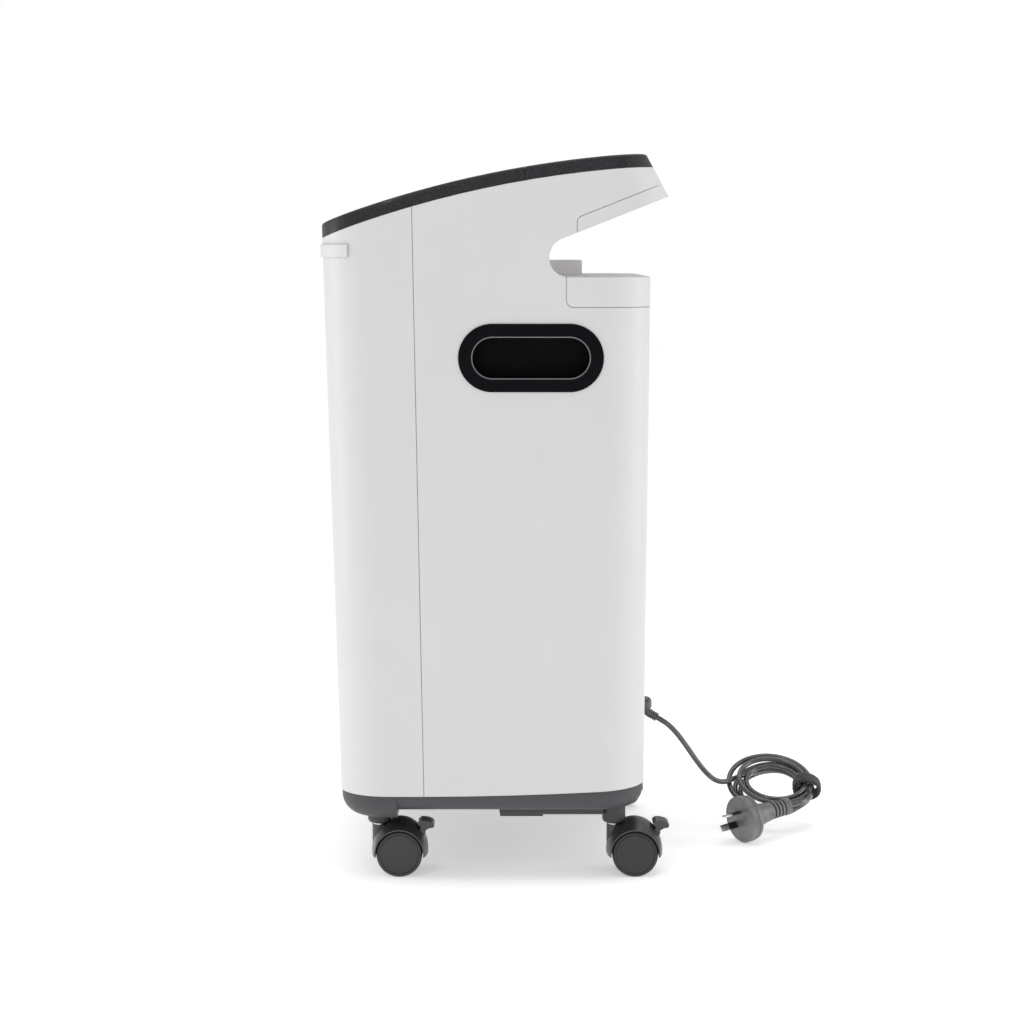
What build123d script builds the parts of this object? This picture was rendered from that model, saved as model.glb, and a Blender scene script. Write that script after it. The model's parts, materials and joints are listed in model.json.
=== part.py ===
from build123d import *
from math import cos, pi, radians, sin, sqrt, tan
import os

# ------------------------------------------------------------------ driving dimensions (mm, degrees)
# X runs across the machine, -Y is its front, +Z is up. The origin is on the floor, under the middle
# of the machine's box. A side outline is given as points (Y, Z).
WIDTH = 370.0
CORNER_R = 40.0
WALL = 3.0
GAP, DOOR_GAP = 0.3, 0.5      # joint lines between mouldings, and round the door

FRONT_Y, FRONT_Z, FRONT_LEAN = -148.8, 554.5, 1.54     # front wall under the top panel
REAR_Y, SHELF_Z, REAR_LEAN = 131.8, 520.6, 0.47        # rear wall at the shelf of the notch
NOSE_Y, NOSE_Z, NOSE_LEAN = 145.3, 591.5, 28.5         # nose of the overhang above the notch
TOP_CENTRE, TOP_R, PANEL_T = (175.1, -278.9), 893.0, 11.5
SEAM_Y, SEAM_Z, SEAM_R = -72.7, 76.1, 3033.0           # lower edge of the shells, a very flat arc
SPLIT_TOP, SPLIT_BOTTOM = (-70.9, 579.1), (-62.3, 76.1)
CAP_SPLIT_Y = 23.9

NOTCH_CENTRE, NOTCH_R, NOTCH_SLOPE = (61.1, 537.2), 16.6, 21.5
LINER_Y, LINER_T = 68.3, 11.5
SHELF_CAP_Y, SHELF_CAP_Z = 59.2, 495.3

GRIP_CENTRE = (29.3, 452.6)
GRIP_OUTER, GRIP_INNER, GRIP_DEPTH, GRIP_PROUD = (123.1, 57.7), (99.1, 34.1), 40.0, 1.6

PAN_Z, PAN_EDGE = 62.0, 15.0
SUMP_Y, SUMP_Z, SUMP_HALF = (2.3, 93.9), 52.5, 150.0

KEY_Y, KEY_XS, KEY_R = -27.7, (-34.0, 0.0, 34.0), 8.0
WINDOW_Y, WINDOW_SIZE, WINDOW_T = -84.0, (128.0, 66.0), 1.2
BAND_Z, BAND_PROUD, BAND_END = (537.0, 548.0), 2.0, -125.0

BAY_X, BAY_Z, BAY_DEPTH, BAY_T = 55.0, (385.0, 505.0), 34.0, 3.0
TUBE_X, TUBE_Z, BORE_R, FLOAT_R = -27.0, (418.0, 498.0), 4.5, 4.0
KNOB_Z, KNOB_R, FLUTES = 402.0, 11.5, 18
ROCKER_X, ROCKER_Z = 27.0, 403.0
OUTLET_X, OUTLET_Z, NIPPLE_R = 27.0, 458.0, 3.0

DOOR_X, DOOR_Z, TRAY_DEPTH = 75.0, (300.0, 420.0), 16.0
LOUVRES, VENTS, PITCH = 11, 9, 9.0
RELIEF_Y, RELIEF_Z, RELIEF_DROP, RELIEF_REACH, RELIEF_DIP = 137.8, 125.5, 8.62, 11.62, 30.0
BREAKER_X, BREAKER_Z = 62.0, 124.0
SCREW_X, SCREW_ZS, FOOT_SCREW_X, FOOT_SCREW_YS = 128.0, (160, 300, 440), 92.0, (-72, 106)

FRAME_Z, MOTOR_Y, MOTOR_Z, MOTOR_R = 80.0, 34.0, 172.0, 50.0
FAN_CENTRE, FAN_SIZE, SHAFT_R = (0.0, 40.0, 290.0), 120.0, 3.0
BED_X, BED_Y, BED_TOP = 98.0, -80.0, 352.0

CASTER_X, CASTER_FRONT_Y, CASTER_REAR_Y = 140.0, -102.8, 102.6
TRAIL, WHEEL_R, WHEEL_W, WEB = 18.0, 20.0, 18.0, 7.0
COLLAR_Z, COLLAR_R, STEM_R, AXLE_R = 44.2, 10.2, 4.0, 3.0
FRONT_LIP_Z, SWUNG = 54.5, -62.0          # depth of the front lip; turn of the rear left caster

CORD_D = 5.0
COIL_CENTRE, COIL_R, COIL_TUBE, COIL_TILT = (-42.0, 262.3, 37.8), 34.0, 10.0, 27.0
PLUG_FACE = Vector(36.0, 222.5, 21.8)
PLUG_DIR = Vector(0.515, -0.845, -0.125).normalized()
PIN_ROLL, PIN_LENGTH = 66.0, 17.5

FAR = 900.0                   # further than anything


# ------------------------------------------------------------------ shared shapes
STANDING = (Align.CENTER, Align.CENTER, Align.MIN)


def lean(angle):
    return tan(radians(angle))


def front_y(z):
    return FRONT_Y + (FRONT_Z - z) * lean(FRONT_LEAN)


def rear_y(z):
    return REAR_Y + (z - SHELF_Z) * lean(REAR_LEAN)


def nose_y(z):
    return NOSE_Y - (z - NOSE_Z) * lean(NOSE_LEAN)


def slab(*outline, half=WIDTH):
    """A side outline of (Y, Z) points, carried across X from -half to half."""
    return extrude(Plane.YZ * make_face(Polyline(*outline, close=True)), amount=half, both=True)


def block(x, y, z):
    """A box from its low and high corners along each axis."""
    size = (x[1] - x[0], y[1] - y[0], z[1] - z[0])
    return Pos((x[0] + x[1]) / 2, (y[0] + y[1]) / 2, (z[0] + z[1]) / 2) * Box(*size)


def rod(point, direction, radius, length):
    """A cylinder that starts at point and runs along direction."""
    plane = Plane(origin=point, z_dir=direction)
    return plane * Cylinder(radius, length, align=STANDING)


def barrel(y, z, radius, half=WIDTH):
    """A cylinder along X, centred on the middle plane."""
    return Pos(0, y, z) * Rot(0, 90, 0) * Cylinder(radius, 2 * half)


def plan(y0, y1, z, inset):
    size = (WIDTH - 2 * inset, y1 - y0 - 2 * inset)
    return Pos(0, (y0 + y1) / 2, z) * RectangleRounded(*size, CORNER_R - inset)


def hull(inset, bottom=30.0):
    """The whole body, uncut: upright below the notch, and with the sloping nose above it."""
    middle, top = NOTCH_CENTRE[1], 650.0
    lower = loft([plan(front_y(z), rear_y(z), z, inset) for z in (bottom, middle)])
    upper = loft([plan(front_y(z), nose_y(z), z, inset) for z in (middle, top)])
    return lower + upper


def notch(inset):
    """The hand space under the nose, open to the rear, made larger all round by inset."""
    y, z = NOTCH_CENTRE
    r, a = NOTCH_R + inset, radians(NOTCH_SLOPE)
    tangent = (y - r * sin(a), z + r * cos(a))
    far = (tangent[0] + 200 * cos(a), tangent[1] + 200 * sin(a))
    outline = Polyline(tangent, far, (far[0], z - r), (y, z - r))
    outline += ThreePointArc((y, z - r), (y - r, z), tangent)
    return extrude(Plane.YZ * make_face(outline), amount=WIDTH, both=True)


def under_top(offset):
    return barrel(*TOP_CENTRE, TOP_R + offset)


def over_seam(offset):
    return barrel(SEAM_Y, SEAM_Z + SEAM_R, SEAM_R + offset)


def split_y(z):
    (y1, z1), (y0, z0) = SPLIT_TOP, SPLIT_BOTTOM
    return y0 + (y1 - y0) * (z - z0) / (z1 - z0)


def front_of_split(offset):
    return slab((-FAR, 0), (-FAR, 700), (split_y(700) + offset, 700), (split_y(0) + offset, 0))


def liner_zone(grow):
    """The band of the nose that the liner of the notch covers."""
    a = radians(NOTCH_SLOPE)
    y0 = NOTCH_CENTRE[0] - NOTCH_R * sin(a)
    z0 = NOTCH_CENTRE[1] + NOTCH_R * cos(a)
    lift = (LINER_T + grow) / cos(a)
    start = LINER_Y - grow
    upper = z0 + lift + (start - y0) * tan(a)
    end = 260.0
    outline = Polyline((start, z0 - 30), (start, upper), (end, upper + (end - start) * tan(a)),
                       (end, z0 - 30), close=True)
    face = make_face(outline)
    corner = face.vertices().sort_by(Axis.X)[:2].sort_by(Axis.Y)[-1]
    return extrude(Plane.YZ * fillet(corner, 5 + grow), amount=WIDTH, both=True)


def shelf_zone(grow):
    """The rear edge of the shelf under the notch, which is a moulding of its own."""
    y0, z0 = SHELF_CAP_Y - grow, SHELF_CAP_Z - grow
    outline = Polyline((y0, 545), (y0, z0), (260, z0), (260, 545), close=True)
    face = make_face(outline)
    corner = face.vertices().sort_by(Axis.X)[:2].sort_by(Axis.Y)[0]
    return extrude(Plane.YZ * fillet(corner, 6 + grow), amount=WIDTH, both=True)


def rounded_block(x, y, z, radius):
    """A box along Y whose four edges that run along Y are rounded."""
    face = Pos((x[0] + x[1]) / 2, (z[0] + z[1]) / 2) * RectangleRounded(x[1] - x[0], z[1] - z[0], radius)
    plane = Plane(origin=(0, y[1], 0), x_dir=(1, 0, 0), z_dir=(0, -1, 0))
    return extrude(plane * face, amount=y[1] - y[0])


def both_sides(shape):
    return shape + mirror(shape, about=Plane.YZ)


# ------------------------------------------------------------------ casing
OUTER = hull(0)
SKIN = (OUTER & under_top(0) & over_seam(0)) - notch(0) - (hull(WALL) - notch(WALL))


def grip_hole():
    face = Pos(*GRIP_CENTRE) * SlotOverall(GRIP_INNER[0] + 5, GRIP_INNER[1] + 5)
    return extrude(Plane.YZ * face, amount=WIDTH, both=True)


def filter_door():
    """The louvred cover of the air intake, flush with the rear wall, hinged along its lower edge."""
    zone = rounded_block((-DOOR_X, DOOR_X), (100, 150), DOOR_Z, 4)
    door = (SKIN - front_of_split(0)) & zone
    for i in range(LOUVRES):
        z = DOOR_Z[0] + 16 + i * PITCH
        door -= rounded_block((-DOOR_X + 14, DOOR_X - 14), (100, 150), (z, z + 3.6), 1.7)
    hinge_edges = door.edges().filter_by(Axis.X).group_by(Axis.Z)[0]
    return fillet(hinge_edges, 1.3)


def filter_tray():
    """The recess behind the door, with a round hole through to the fine filter."""
    y_in, z0, z1 = rear_y(DOOR_Z[0]) - WALL, *DOOR_Z
    outer = block((-DOOR_X - 5, DOOR_X + 5), (y_in - TRAY_DEPTH, y_in + 0.5), (z0 - 5, z1 + 5))
    room = block((-DOOR_X - 1.5, DOOR_X + 1.5), (y_in - TRAY_DEPTH + WALL, y_in + 20), (z0 - 1.5, z1 + 1.5))
    return outer - room - rod((0, y_in - 30, (z0 + z1) / 2), (0, 1, 0), 32, 25)


def rear_shell():
    """The rear half, with the intake's tray, a low vent, and holes for the cord and the breaker."""
    shell = SKIN - front_of_split(GAP / 2) - liner_zone(GAP) - shelf_zone(GAP) - grip_hole()
    shell += filter_tray() & hull(WALL / 2)
    hole_z = (DOOR_Z[0] - DOOR_GAP, DOOR_Z[1] + DOOR_GAP)
    shell -= rounded_block((-DOOR_X - DOOR_GAP, DOOR_X + DOOR_GAP), (120, 150), hole_z, 4.5)
    shell -= rod((0, 110, RELIEF_Z), (0, 1, 0), 7, 30)
    shell -= rod((BREAKER_X, 110, BREAKER_Z), (0, 1, 0), 5.6, 30)
    for i in range(VENTS):
        z = 176 + i * PITCH
        shell -= rounded_block((-78, 78), (110, 140), (z, z + 4), 1.9)
    return shell - shell_screws(3.6, 1.8, 0.1)


def front_shell():
    """The front half, with a blank raised band across it just under the top panel."""
    band = (hull(-BAND_PROUD) - hull(0)) & block((-FAR, FAR), (-FAR, BAND_END), BAND_Z)
    shell = (SKIN & front_of_split(-GAP / 2)) + band
    return shell - rounded_block((-BAY_X, BAY_X), (-160, -120), BAY_Z, 12)


def handle_liner():
    return SKIN & liner_zone(0)


def shelf_cap():
    return SKIN & shelf_zone(0)


def top_skin():
    """The dark upper panel as one hollow lid, before it is split in two."""
    lid = (OUTER & under_top(PANEL_T)) - under_top(0)
    rim = lid.edges().filter_by(lambda e: e.center().Z > 560)
    upper = [e for e in rim if abs((Vector(0, e.center().Y, e.center().Z)
             - Vector(0, *TOP_CENTRE)).length - TOP_R - PANEL_T) < 1.5]
    lid = fillet(upper, 3.2)
    return lid - (hull(WALL) & under_top(PANEL_T - WALL))


TOP_LID = top_skin()


def top_frame(y):
    """A plane on the top panel at y, with its normal out of the panel."""
    drop = y - TOP_CENTRE[0]
    r = TOP_R + PANEL_T
    z = TOP_CENTRE[1] + sqrt(r * r - drop * drop)
    return Plane(origin=(0, y, z), x_dir=(1, 0, 0), z_dir=(0, drop / r, (z - TOP_CENTRE[1]) / r))


def window_zone(grow):
    face = RectangleRounded(WINDOW_SIZE[0] + 2 * grow, WINDOW_SIZE[1] + 2 * grow, 8 + grow)
    return extrude(top_frame(WINDOW_Y) * face, amount=8, both=True)


def control_panel():
    panel = TOP_LID & block((-FAR, FAR), (-FAR, CAP_SPLIT_Y - GAP / 2), (400, 700))
    panel -= window_zone(0) - under_top(PANEL_T - WINDOW_T)
    frame = top_frame(KEY_Y)
    for x in KEY_XS:
        panel -= frame * Pos(x, 0, 0) * Cylinder(KEY_R + 0.4, 30)
    return panel


def rear_top_cap():
    return TOP_LID & block((-FAR, FAR), (CAP_SPLIT_Y + GAP / 2, FAR), (400, 700))


def display_window():
    return (window_zone(-0.15) & under_top(PANEL_T)) - under_top(PANEL_T - WINDOW_T)


def key(x):
    frame = top_frame(KEY_Y)
    cap = frame * Pos(x, 0, -0.1) * Cylinder(KEY_R, 9, align=(Align.CENTER, Align.CENTER, Align.MAX))
    rim = cap.edges().group_by(Axis.Z)[-1]
    return fillet(rim, 0.8)


def grip():
    """A side grip: a raised ring on the wall, and the closed cup behind it for the fingers."""
    side = WIDTH / 2
    base = Plane.YZ.offset(side) * Pos(*GRIP_CENTRE)
    deep = Plane.YZ.offset(side - GRIP_DEPTH) * Pos(*GRIP_CENTRE)
    ring = extrude(base * SlotOverall(*GRIP_OUTER), amount=GRIP_PROUD)
    ring = fillet(ring.edges().group_by(Axis.X)[-1], 1.2)
    cup = extrude(deep * SlotOverall(GRIP_INNER[0] + 4.6, GRIP_INNER[1] + 4.6), amount=GRIP_DEPTH)
    pocket = extrude(deep * SlotOverall(*GRIP_INNER), amount=FAR) - block((0, side - GRIP_DEPTH + 2.5),
                                                                         (-FAR, FAR), (0, FAR))
    shape = ring + cup - pocket
    lip = shape.edges().filter_by(lambda e: abs(e.center().X - side - GRIP_PROUD) < 0.05
                                  and abs(e.center().Z - GRIP_CENTRE[1]) < GRIP_INNER[1] / 2 + 0.5)
    return chamfer(lip, 1.0)


def tubing_clip():
    """The block on the shelf at the inner end of the notch, on the far side of the middle."""
    clip = block((-105, -25), (42.3, 77.8), (500, 534))
    clip = fillet(clip.edges().filter_by(Axis.X).group_by(Axis.Z)[-1], 1.2) & notch(-0.05)
    for x in (-87, -65, -43):
        clip -= rod((x, 0, 531.5), (0, 1, 0), 4.2, 120)
    return clip


# ------------------------------------------------------------------ base
STEMS = [(x, y) for x in (-CASTER_X, CASTER_X) for y in (CASTER_FRONT_Y, CASTER_REAR_Y)]


def base_pan():
    """The dark pan under the shells: rounded edge, sump with vents, four caster sockets."""
    def tub(inset, bottom, edge):
        z1 = 100.0
        shape = loft([plan(front_y(z), rear_y(z), z, inset) for z in (bottom, z1)])
        return fillet(shape.edges().group_by(Axis.Z)[0], edge)

    def sump(inset):
        box = block((-SUMP_HALF + inset, SUMP_HALF - inset), (SUMP_Y[0] + inset, SUMP_Y[1] - inset),
                    (SUMP_Z + inset, PAN_Z + 6))
        if inset:
            return fillet(box.edges().filter_by(Axis.Z), 8 - inset)
        return fillet(box.edges().filter_by(Axis.Z) + box.edges().group_by(Axis.Z)[0], 2.5)

    lip = tub(1.0, FRONT_LIP_Z, PAN_EDGE + 3) & block((-FAR, FAR), (-FAR, CASTER_FRONT_Y + 17), (50, 90))
    pan = tub(1.0, PAN_Z, PAN_EDGE) + lip + sump(0)
    step_y, step_z = (SUMP_Y[0] + 0.5, SUMP_Y[0] + 38), (SUMP_Z - 1.4, SUMP_Z + 2)
    pan += block((-SUMP_HALF + 1.5, SUMP_HALF - 1.5), step_y, step_z)
    collar = Cylinder(COLLAR_R, PAN_Z + 8 - COLLAR_Z, align=STANDING)
    collar = fillet(collar.edges().group_by(Axis.Z)[0], COLLAR_R - 6.5)
    for x, y in STEMS:
        pan += Pos(x, y, COLLAR_Z) * collar
    pan -= over_seam(GAP)
    room = tub(1.0 + WALL, PAN_Z + WALL, PAN_EDGE - WALL) + sump(WALL)
    for x, y in STEMS:
        room -= Pos(x, y, 67) * Cylinder(14, 20)
    pan -= room
    pan += ((hull(WALL + 0.2, 60) - hull(WALL + 2.4, 59)) & over_seam(5)) - over_seam(-6)
    for x, y in STEMS:
        pan -= rod((x, y, 40), (0, 0, 1), STEM_R + 0.05, 34)
    for i in range(17):
        pan -= Pos(-128 + i * 16, 63, SUMP_Z + 1) * extrude(SlotOverall(50, 5, 90), amount=8, both=True)
    return pan - shell_screws(3.6, 1.8, 0.1)


# ------------------------------------------------------------------ front bay, with the oxygen fittings
def bay_wall_y():
    return front_y(BAY_Z[0]) + BAY_DEPTH


def outlet_bay():
    """An open box let into the front wall, with the knob's and the rocker's holes in its back."""
    back = bay_wall_y()
    outer = rounded_block((-BAY_X, BAY_X), (-160, back), BAY_Z, 12) & hull(0.6)
    across, up = (-BAY_X + 2.5, BAY_X - 2.5), (BAY_Z[0] + 2.5, BAY_Z[1] - 2.5)
    bay = outer - rounded_block(across, (-170, back - BAY_T), up, 9.5)
    bay -= rod((TUBE_X, back - 8, KNOB_Z), (0, 1, 0), SHAFT_R + 0.05, 12)
    across, up = (ROCKER_X - 11.4, ROCKER_X + 11.4), (ROCKER_Z - 7.9, ROCKER_Z + 7.9)
    return bay - block(across, (back - 8, back + 1), up)


def flow_tube():
    """A clear block with an upright bore, in which the float rises with the flow."""
    back = bay_wall_y() - BAY_T
    tube = block((TUBE_X - 13, TUBE_X + 13), (back - 16, back), TUBE_Z)
    tube = fillet(tube.edges().filter_by(Axis.Z).group_by(Axis.Y)[0], 4)
    return tube - rod((TUBE_X, back - 8, TUBE_Z[0] + 6), (0, 0, 1), BORE_R, TUBE_Z[1] - TUBE_Z[0] - 12)


def flow_float():
    return Pos(TUBE_X, bay_wall_y() - BAY_T - 8, TUBE_Z[0] + 6 + FLOAT_R + 0.1) * Sphere(FLOAT_R)


def flow_knob():
    """The flow valve's fluted knob, with a pointer groove and its spindle."""
    back = bay_wall_y() - BAY_T
    knob = rod((TUBE_X, back - 0.4, KNOB_Z), (0, -1, 0), KNOB_R, 19)
    knob = fillet(knob.edges().group_by(Axis.Y)[0], 1.5)
    for i in range(FLUTES):
        a, r = 2 * pi * i / FLUTES, KNOB_R + 0.5
        knob -= rod((TUBE_X + r * cos(a), back - 4, KNOB_Z + r * sin(a)), (0, -1, 0), 1.2, 30)
    pointer = block((TUBE_X - 0.7, TUBE_X + 0.7), (back - 30, back - 18.4), (KNOB_Z + 3, KNOB_Z + 20))
    return knob - pointer + rod((TUBE_X, back - 0.4, KNOB_Z), (0, 1, 0), SHAFT_R, 6)


def oxygen_outlet():
    """A flanged nipple with a tapered end, for tubing of 6 mm bore."""
    back = bay_wall_y() - BAY_T
    nipple = rod((OUTLET_X, back, OUTLET_Z), (0, -1, 0), 12, 4)
    nipple = fillet(nipple.edges().group_by(Axis.Y)[0], 1.2)
    nipple += rod((OUTLET_X, back - 4, OUTLET_Z), (0, -1, 0), 5.5, 6)
    nipple += rod((OUTLET_X, back - 10, OUTLET_Z), (0, -1, 0), NIPPLE_R, 12)
    tip = Plane(origin=(OUTLET_X, back - 22, OUTLET_Z), z_dir=(0, -1, 0))
    nipple += tip * Cone(NIPPLE_R, 2.3, 4, align=STANDING)
    return nipple - rod((OUTLET_X, back - 8, OUTLET_Z), (0, -1, 0), 1.6, 30)


def power_rocker():
    """A rocker that pivots on its own round back, a little below the face of the bay."""
    back = bay_wall_y() - BAY_T
    face = make_face(Polyline((-7.2, 1.4), (-7.2, -2.6), (0, -0.6), (7.2, -3.4), (7.2, 1.4), close=True))
    plane = Plane(origin=(ROCKER_X, back, ROCKER_Z), x_dir=(0, 0, 1), z_dir=(1, 0, 0))
    return fillet(extrude(plane * face, amount=10.8, both=True).edges().filter_by(Axis.X), 0.5)


# ------------------------------------------------------------------ rear fittings
def relief_path():
    """Down from the elbow, then bent away from the wall, to where the cord comes out."""
    dip = radians(RELIEF_DIP)
    corner = (0, RELIEF_Y, RELIEF_Z - RELIEF_DROP)
    end = (0, corner[1] + RELIEF_REACH * cos(dip), corner[2] - RELIEF_REACH * sin(dip))
    return FilletPolyline((0, RELIEF_Y, RELIEF_Z), corner, end, radius=8)


def relief_end(distance):
    """A point on the cord's line, distance beyond the end of the strain relief."""
    path = relief_path()
    return tuple(path @ 1 + path % 1 * distance)


def strain_relief():
    """A soft elbow boot: out of the rear wall, down, and round to a grooved sleeve."""
    wall, path = rear_y(RELIEF_Z), relief_path()
    boot = rod((0, wall - WALL - 2, RELIEF_Z), (0, 1, 0), 6.9, WALL + 2)
    boot += rod((0, wall - WALL - 5, RELIEF_Z), (0, 1, 0), 9.0, 4.7)
    boot += rod((0, wall + 0.1, RELIEF_Z), (0, 1, 0), 9.5, 2.0)
    boot += rod((0, wall - 1, RELIEF_Z), (0, 1, 0), 5.4, RELIEF_Y - wall + 1)
    boot += Pos(0, RELIEF_Y, RELIEF_Z) * Sphere(5.4)
    boot += rod((0, RELIEF_Y, RELIEF_Z), (0, 0, -1), 5.4, 4.5)
    sleeve = sweep(Plane(origin=path @ 0, z_dir=path % 0) * Circle(4.1), path=path)
    end = Plane(origin=path @ 1, z_dir=-(path % 1))
    for i in range(3):
        sleeve -= end * Pos(0, 0, 1.6 + i * 2.1) * (Cylinder(8, 0.9) - Cylinder(3.4, 0.9))
    return boot + sleeve


def breaker_button():
    wall = rear_y(BREAKER_Z)
    button = rod((BREAKER_X, wall - 6, BREAKER_Z), (0, 1, 0), 5.2, 7.2)
    return fillet(button.edges().group_by(Axis.Y)[-1], 0.8)


def filter_foam():
    y = rear_y(DOOR_Z[0]) - WALL - 12.6
    return block((-DOOR_X + 1, DOOR_X - 1), (y, y + 9), (DOOR_Z[0] + 1, DOOR_Z[1] - 1))


def shell_screws(head_r=3.2, shank_r=1.6, sink=0.0):
    """Ten sunk screws, six through the rear shell and four through the pan; larger, their holes."""
    screws = Part()
    head = 1.4 + 4 * sink
    for x in (-SCREW_X, SCREW_X):
        for z in SCREW_ZS:
            wall = rear_y(z) - WALL / 2 - sink
            screws += rod((x, wall - 8, z), (0, 1, 0), shank_r, 8)
            screws += rod((x, wall, z), (0, 1, 0), head_r, head)
    for x in (-FOOT_SCREW_X, FOOT_SCREW_X):
        for y in FOOT_SCREW_YS:
            floor = PAN_Z + WALL / 2 + sink
            screws += rod((x, y, floor), (0, 0, 1), shank_r, 8)
            screws += rod((x, y, floor), (0, 0, -1), head_r, head)
    return screws


# ------------------------------------------------------------------ inside
def inner_frame():
    """A folded sheet: a floor on four posts, and an upright wall behind the gas canisters."""
    frame = block((-150, 150), (-118, 112), (FRAME_Z, FRAME_Z + 2))
    frame += block((-150, 150), (-34, -32), (FRAME_Z, 380))
    for x in (-138, 138):
        for y in (-70, 62):
            frame += block((x - 8, x + 8), (y - 8, y + 8), (PAN_Z + WALL, FRAME_Z))
    return frame - rod((0, -40, 300), (0, 1, 0), 36, 12)


def isolation_mounts():
    """Four rubber bobbins between the frame and the compressor's foot plate."""
    mounts = Part()
    for x in (-70, 70):
        for y in (-8, 76):
            for z, radius, height in ((2, 11, 6), (8, 7, 12), (20, 11, 5)):
                mounts += Pos(x, y, FRAME_Z + z) * Cylinder(radius, height, align=STANDING)
    return mounts


def compressor_case():
    """The twin-head oil-free compressor: a motor drum across the machine on a foot plate."""
    case = block((-88, 88), (-22, 90), (105, 111)) + block((-50, 50), (6, 62), (105, 130))
    return case + barrel(MOTOR_Y, MOTOR_Z, MOTOR_R, 62) + barrel(MOTOR_Y, MOTOR_Z, 30, 96)


def compressor_heads():
    """A cylinder and its head above each crankcase at the ends of the drum."""
    head = block((64, 96), (4, 64), (222.5, 262)) + block((68, 92), (10, 58), (196, 222.5))
    head -= barrel(MOTOR_Y, MOTOR_Z, 30, 97) + barrel(MOTOR_Y, MOTOR_Z, MOTOR_R, 63)
    return both_sides(head)


def fan_frame():
    frame = Pos(*FAN_CENTRE) * (Box(FAN_SIZE, FAN_SIZE, 38) - Cylinder(FAN_SIZE / 2 - 4, 50))
    frame += Pos(*FAN_CENTRE) * Pos(0, 0, -17) * (Cylinder(20, 4) + Box(116, 8, 4))
    return frame - Pos(*FAN_CENTRE) * Cylinder(SHAFT_R + 0.05, 60)


def fan_rotor():
    """A hub on a short shaft, with seven pitched blades."""
    rotor = Cylinder(19, 26) + Pos(0, 0, -12) * Cylinder(SHAFT_R, 10)
    for i in range(7):
        rotor += Rot(0, 0, 360 * i / 7) * Pos(36, 0, 0) * Rot(38, 0, 0) * Box(36, 26, 1.6)
    return Pos(*FAN_CENTRE) * (rotor & Cylinder(53.5, 28))


def canister(x, radius):
    """A round-ended gas canister on the frame's floor, with a port on top."""
    floor = FRAME_Z + 2
    body = Pos(x, BED_Y, floor) * Cylinder(radius, BED_TOP - floor, align=STANDING)
    body = fillet(body.edges().group_by(Axis.Z)[0] + body.edges().group_by(Axis.Z)[-1], 8)
    return body + Pos(x, BED_Y, BED_TOP) * Cylinder(9, 12, align=STANDING)


def sieve_beds():
    return canister(-BED_X, 36) + canister(BED_X, 36)


def valve_manifold():
    """A plate across the three canisters, with the switching valves' block on it."""
    z = BED_TOP + 12
    plate = block((-120, 120), (BED_Y - 18, BED_Y + 18), (z, z + 8))
    valves = block((-46, 46), (BED_Y - 16, BED_Y + 16), (z + 8, z + 34))
    return plate + valves - block((-3, 3), (BED_Y - 19, BED_Y + 19), (z + 28, z + 35))


def heat_exchanger():
    """A finned stack above the fan."""
    stack = Part()
    for i in range(5):
        stack += Pos(0, -44 + i * 22, 0) * Rot(0, 90, 0) * Cylinder(5, 116)
    for i in range(15):
        stack += Pos(-52.5 + i * 7.5, 0, 0) * Box(1.2, 112, 20)
    for x in (-58, 58):
        stack += Pos(x, 0, 0) * Box(4, 100, 12)
    return Pos(*FAN_CENTRE) * Pos(0, 0, 30) * stack


def main_board():
    """The controller under the top panel, with its tall parts as blocks."""
    board = block((-95, 95), (-30, 36), (500, 501.6))
    board += block((-84, -46), (-20, 14), (501.6, 520)) + block((-30, 0), (-16, 20), (501.6, 512))
    board += block((20, 38), (-22, -4), (501.6, 524)) + block((50, 86), (-20, 20), (501.6, 508))
    return board


def run_capacitor():
    return Pos(124, 70, 82) * Cylinder(20, 74, align=STANDING)


def inlet_filter():
    """The fine filter canister, on the tray behind the intake foam."""
    back, z = rear_y(DOOR_Z[0]) - WALL - TRAY_DEPTH, sum(DOOR_Z) / 2
    return rod((0, back, z), (0, -1, 0), 28.5, 22) - rod((0, back + 1, z), (0, -1, 0), 22, 18)


def inner_hoses():
    """Two gas hoses: filter to compressor head, and product tank to the oxygen outlet."""
    y0, z0 = rear_y(DOOR_Z[0]) - WALL - TRAY_DEPTH - 22, sum(DOOR_Z) / 2
    intake = FilletPolyline((0, y0, z0), (0, 50, z0), (80, 50, z0), (80, 50, 262), radius=14)
    supply = FilletPolyline((0, BED_Y, 398), (0, BED_Y, 440), (OUTLET_X, BED_Y, OUTLET_Z),
                            (OUTLET_X, bay_wall_y(), OUTLET_Z), radius=7)
    hoses = Part()
    for line, radius in ((intake, 6), (supply, 3.5)):
        hoses += sweep(Plane(origin=line @ 0, z_dir=line % 0) * Circle(radius), path=line)
    return hoses


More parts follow.
